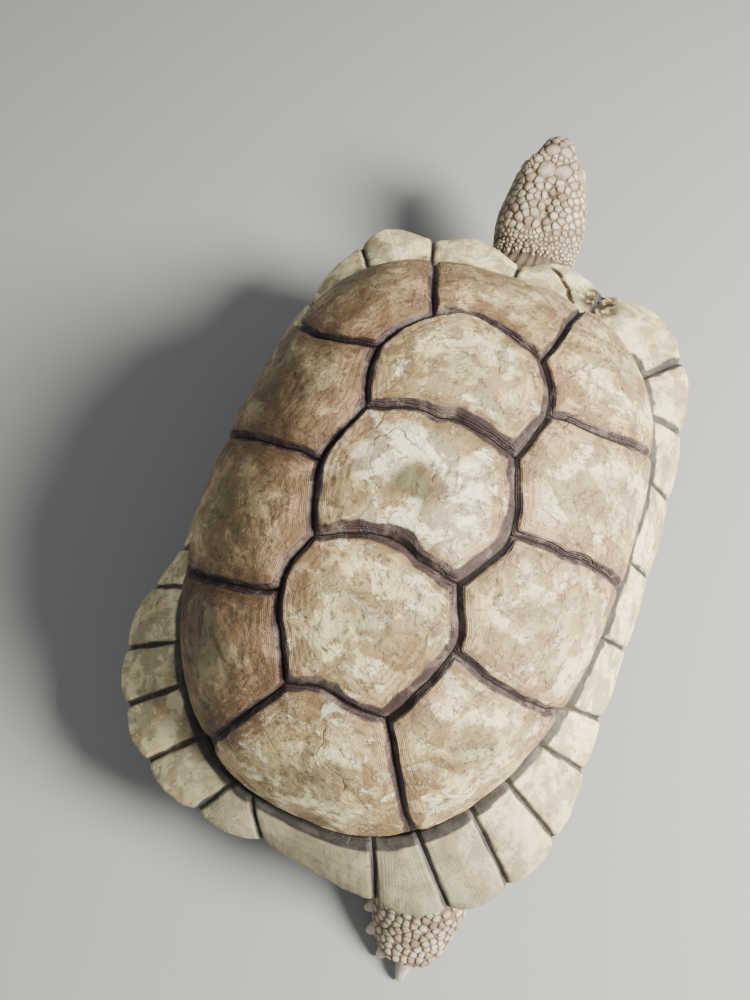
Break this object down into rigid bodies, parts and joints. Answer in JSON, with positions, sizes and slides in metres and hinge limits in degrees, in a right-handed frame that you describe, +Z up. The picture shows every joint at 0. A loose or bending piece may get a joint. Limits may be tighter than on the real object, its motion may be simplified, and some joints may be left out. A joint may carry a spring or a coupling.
{
  "type": "african spurred tortoise",
  "caption": "Life-size adult spurred tortoise walking low: domed tan shell with grooved plates and flared rim, head raised, scaly legs, one hind foot trailing.",
  "frame": {"origin": "on the floor under the middle of the animal's box", "axes": "-Y toward the head, +Y toward the tail, +X toward the animal's left, +Z up"},
  "size_m": [0.423, 0.8352, 0.2907],
  "materials": {
    "scute": "dry keratin plate with growth rings",
    "rim": "pale worn keratin",
    "belly_plate": "scuffed keratin",
    "body": "soft skin and seam beds",
    "skin": "dry scaly skin",
    "eye": "wet"
  },
  "bodies": {
    "root": {"costal_left_1": "scute", "costal_left_2": "scute", "costal_left_3": "scute", "costal_left_4": "scute", "costal_right_1": "scute", "costal_right_2": "scute", "costal_right_3": "scute", "costal_right_4": "scute", "eye_left": "eye", "eye_right": "eye", "forefoot_left": "skin", "forefoot_right": "skin", "foreleg_left": "skin", "foreleg_right": "skin", "head": "skin", "hindfoot_left": "skin", "hindfoot_right": "skin", "hindleg_left": "skin", "hindleg_right": "skin", "lower_jaw": "skin", "marginal_left_1": "rim", "marginal_left_10": "rim", "marginal_left_11": "rim", "marginal_left_12": "rim", "marginal_left_13": "rim", "marginal_left_2": "rim", "marginal_left_3": "rim", "marginal_left_4": "rim", "marginal_left_5": "rim", "marginal_left_6": "rim", "marginal_left_7": "rim", "marginal_left_8": "rim", "marginal_left_9": "rim", "marginal_right_1": "rim", "marginal_right_10": "rim", "marginal_right_11": "rim", "marginal_right_12": "rim", "marginal_right_2": "rim", "marginal_right_3": "rim", "marginal_right_4": "rim", "marginal_right_5": "rim", "marginal_right_6": "rim", "marginal_right_7": "rim", "marginal_right_8": "rim", "marginal_right_9": "rim", "neck": "skin", "plastron": "belly_plate", "supracaudal": "rim", "tail": "skin", "trunk": "body", "vertebral_1": "scute", "vertebral_2": "scute", "vertebral_3": "scute", "vertebral_4": "scute", "vertebral_5": "scute"}
  },
  "joints": []
}
